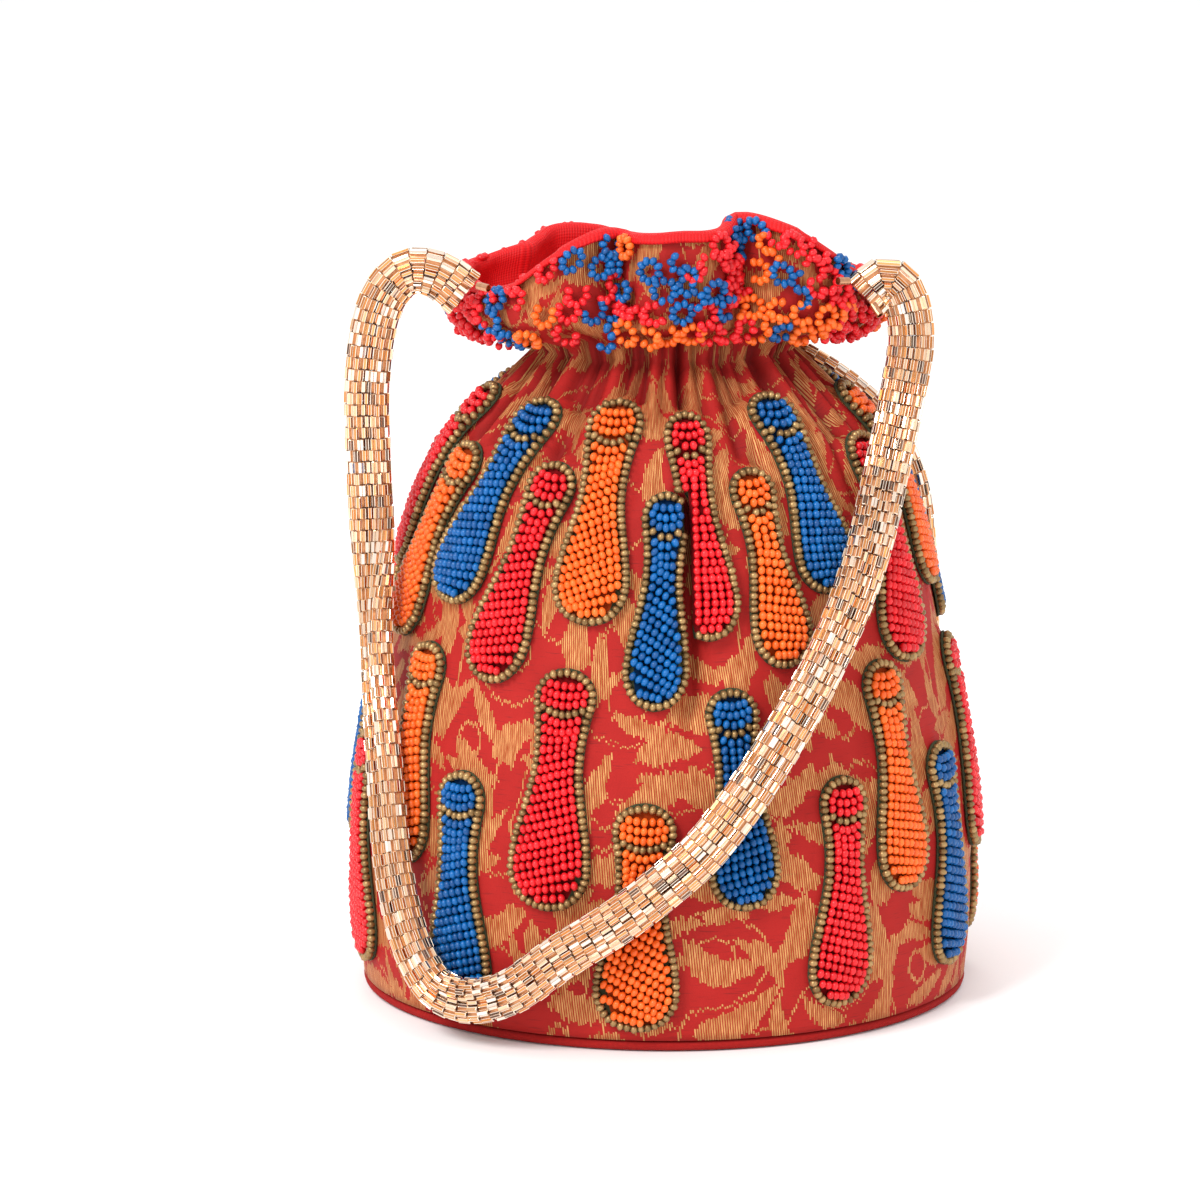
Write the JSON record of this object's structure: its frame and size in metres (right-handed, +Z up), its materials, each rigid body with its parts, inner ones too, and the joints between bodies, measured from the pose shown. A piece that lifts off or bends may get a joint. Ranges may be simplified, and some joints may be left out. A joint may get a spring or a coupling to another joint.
{
  "type": "beaded potli bag",
  "caption": "Gathered brocade pouch with an oval base, a beaded ruffle round its open mouth, padded beaded drops and two hanging metal mesh straps.",
  "frame": {"origin": "middle of the base's underside, on the floor", "axes": "+Z up towards the mouth, -Y towards the viewer of the front, +X to the viewer's right"},
  "size_m": [0.1535, 0.1548, 0.189],
  "materials": {
    "brocade": "red and gold woven brocade",
    "red_lining": "ribbed silk",
    "board": "stiff grey board",
    "elastic": "matte",
    "red_beads": "opaque glass seed beads",
    "blue_beads": "opaque glass seed beads",
    "orange_beads": "opaque glass seed beads",
    "mesh_metal": "bright rose-gold plate"
  },
  "bodies": {
    "root": {"brocade_wall": "brocade", "brocade_shoulder": "brocade", "brocade_ruffle": "brocade", "lining": "red_lining", "ruffle_beadwork": "red_beads", "base_panel": "brocade", "base_board": "board", "base_piping": "red_lining", "neck_elastic": "elastic", "bead_drop_01": "red_beads", "bead_drop_02": "orange_beads", "bead_drop_03": "blue_beads", "bead_drop_04": "red_beads", "bead_drop_05": "orange_beads", "bead_drop_06": "red_beads", "bead_drop_07": "blue_beads", "bead_drop_08": "orange_beads", "bead_drop_09": "blue_beads", "bead_drop_10": "red_beads", "bead_drop_11": "orange_beads", "bead_drop_12": "red_beads", "bead_drop_13": "blue_beads", "bead_drop_14": "orange_beads", "bead_drop_15": "red_beads", "bead_drop_16": "blue_beads", "bead_drop_17": "orange_beads", "bead_drop_18": "red_beads", "bead_drop_19": "blue_beads", "bead_drop_20": "orange_beads", "bead_drop_21": "blue_beads", "bead_drop_22": "red_beads", "bead_drop_23": "orange_beads", "bead_drop_24": "blue_beads", "bead_drop_25": "blue_beads", "bead_drop_26": "red_beads", "bead_drop_27": "orange_beads", "bead_drop_28": "blue_beads", "bead_drop_29": "red_beads", "bead_drop_30": "red_beads", "bead_drop_31": "orange_beads", "bead_drop_32": "blue_beads", "bead_drop_33": "red_beads", "bead_drop_34": "orange_beads", "bead_drop_35": "blue_beads", "bead_drop_36": "orange_beads", "bead_drop_37": "blue_beads", "bead_drop_38": "red_beads", "bead_drop_39": "orange_beads", "bead_drop_40": "blue_beads", "front_strap": "mesh_metal", "back_strap": "mesh_metal"}
  },
  "joints": []
}
